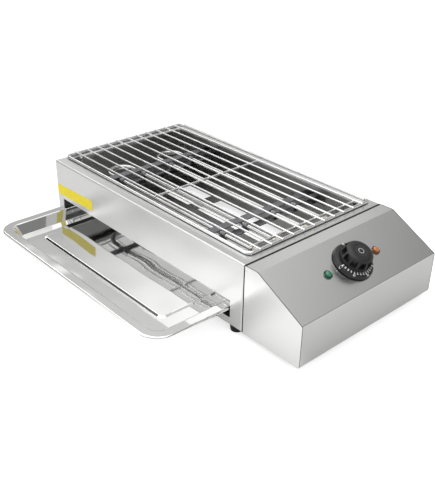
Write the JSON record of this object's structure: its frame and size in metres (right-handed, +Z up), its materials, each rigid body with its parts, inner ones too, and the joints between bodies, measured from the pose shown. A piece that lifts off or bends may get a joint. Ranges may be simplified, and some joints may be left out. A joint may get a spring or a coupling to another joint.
{
  "type": "electric barbecue grill",
  "caption": "Tabletop electric barbecue grill of folded stainless steel with a lift-off wire grid, tubular heaters, a slide-out drip tray and a sloped control box with a thermostat knob.",
  "frame": {"origin": "middle of the whole part's footprint on the floor plane, with the drip tray standing out as at rest", "axes": "+X along the grid bars to the control box, +Y from the front wall with the tray slot to the back wall, +Z up"},
  "size_m": [0.5576, 0.418, 0.1245],
  "materials": {
    "shell_steel": "satin rolled stainless steel",
    "inner_steel": "dull zinc-plated steel",
    "tray_steel": "mirror-polished pressed stainless steel",
    "grid_chrome": "bright chrome-plated wire",
    "heater_sheath": "dark annealed steel sheath",
    "ferrule_brass": "dull brass",
    "strap_steel": "plain steel strip",
    "terminal_ceramic": "unglazed white ceramic",
    "sensor_copper": "drawn copper tube",
    "cover_steel": "satin rolled stainless steel",
    "plate_steel": "satin rolled stainless steel",
    "shaft_steel": "zinc-plated steel",
    "knob_black": "dark moulded plastic",
    "knob_cap": "dark moulded plastic",
    "lens_green": "tinted clear plastic",
    "lens_orange": "tinted clear plastic",
    "lamp_nylon": "black nylon",
    "lead_silicone": "silicone insulation",
    "foot_rubber": "black rubber",
    "screw_zinc": "zinc-plated steel"
  },
  "bodies": {
    "housing": {"body_shell": "shell_steel", "bottom_panel": "inner_steel", "divider_wall": "inner_steel", "tray_rail_left": "inner_steel", "tray_rail_right": "inner_steel", "control_base": "inner_steel", "heater_front": "heater_sheath", "heater_back": "heater_sheath", "heater_ferrules": "ferrule_brass", "ferrule_nuts": "ferrule_brass", "hold_straps": "strap_steel", "carry_straps": "strap_steel", "strap_clips": "strap_steel", "bulb_clips": "strap_steel", "heater_terminals": "terminal_ceramic", "thermostat_body": "terminal_ceramic", "terminal_block": "terminal_ceramic", "sensor_bulb": "sensor_copper", "control_cover": "cover_steel", "control_front_plate": "plate_steel", "control_back_plate": "plate_steel", "earth_stud": "shaft_steel", "lamp_green": "lens_green", "lamp_orange": "lens_orange", "lamp_bodies": "lamp_nylon", "cable_gland": "lamp_nylon", "gland_nut": "lamp_nylon", "power_leads": "lead_silicone", "foot_front_left": "foot_rubber", "foot_front_right": "foot_rubber", "foot_back_left": "foot_rubber", "foot_back_right": "foot_rubber", "foot_screws": "screw_zinc", "panel_screws": "screw_zinc", "cover_screws": "screw_zinc", "joining_screws": "screw_zinc"},
    "tray": {"drip_tray": "tray_steel"},
    "grid": {"wire_grid": "grid_chrome"},
    "dial": {"thermostat_shaft": "shaft_steel", "knob_skirt": "knob_black", "knob_grip": "knob_black", "knob_cap": "knob_cap"}
  },
  "joints": [
    {"name": "tray_slide", "type": "slide", "parent": "housing", "child": "tray", "axis": [0, -1, 0], "range_m": [-0.127, 0.11]},
    {"name": "grid_lift", "type": "slide", "parent": "housing", "child": "grid", "axis": [0, 0, 1], "range_m": [0, 0.12]},
    {"name": "dial_turn", "type": "hinge", "parent": "housing", "child": "dial", "pos_m": [0.23925, 0.058, 0.0935], "axis": [0.4606, 0, 0.8876], "range_deg": [-280, 0]}
  ]
}
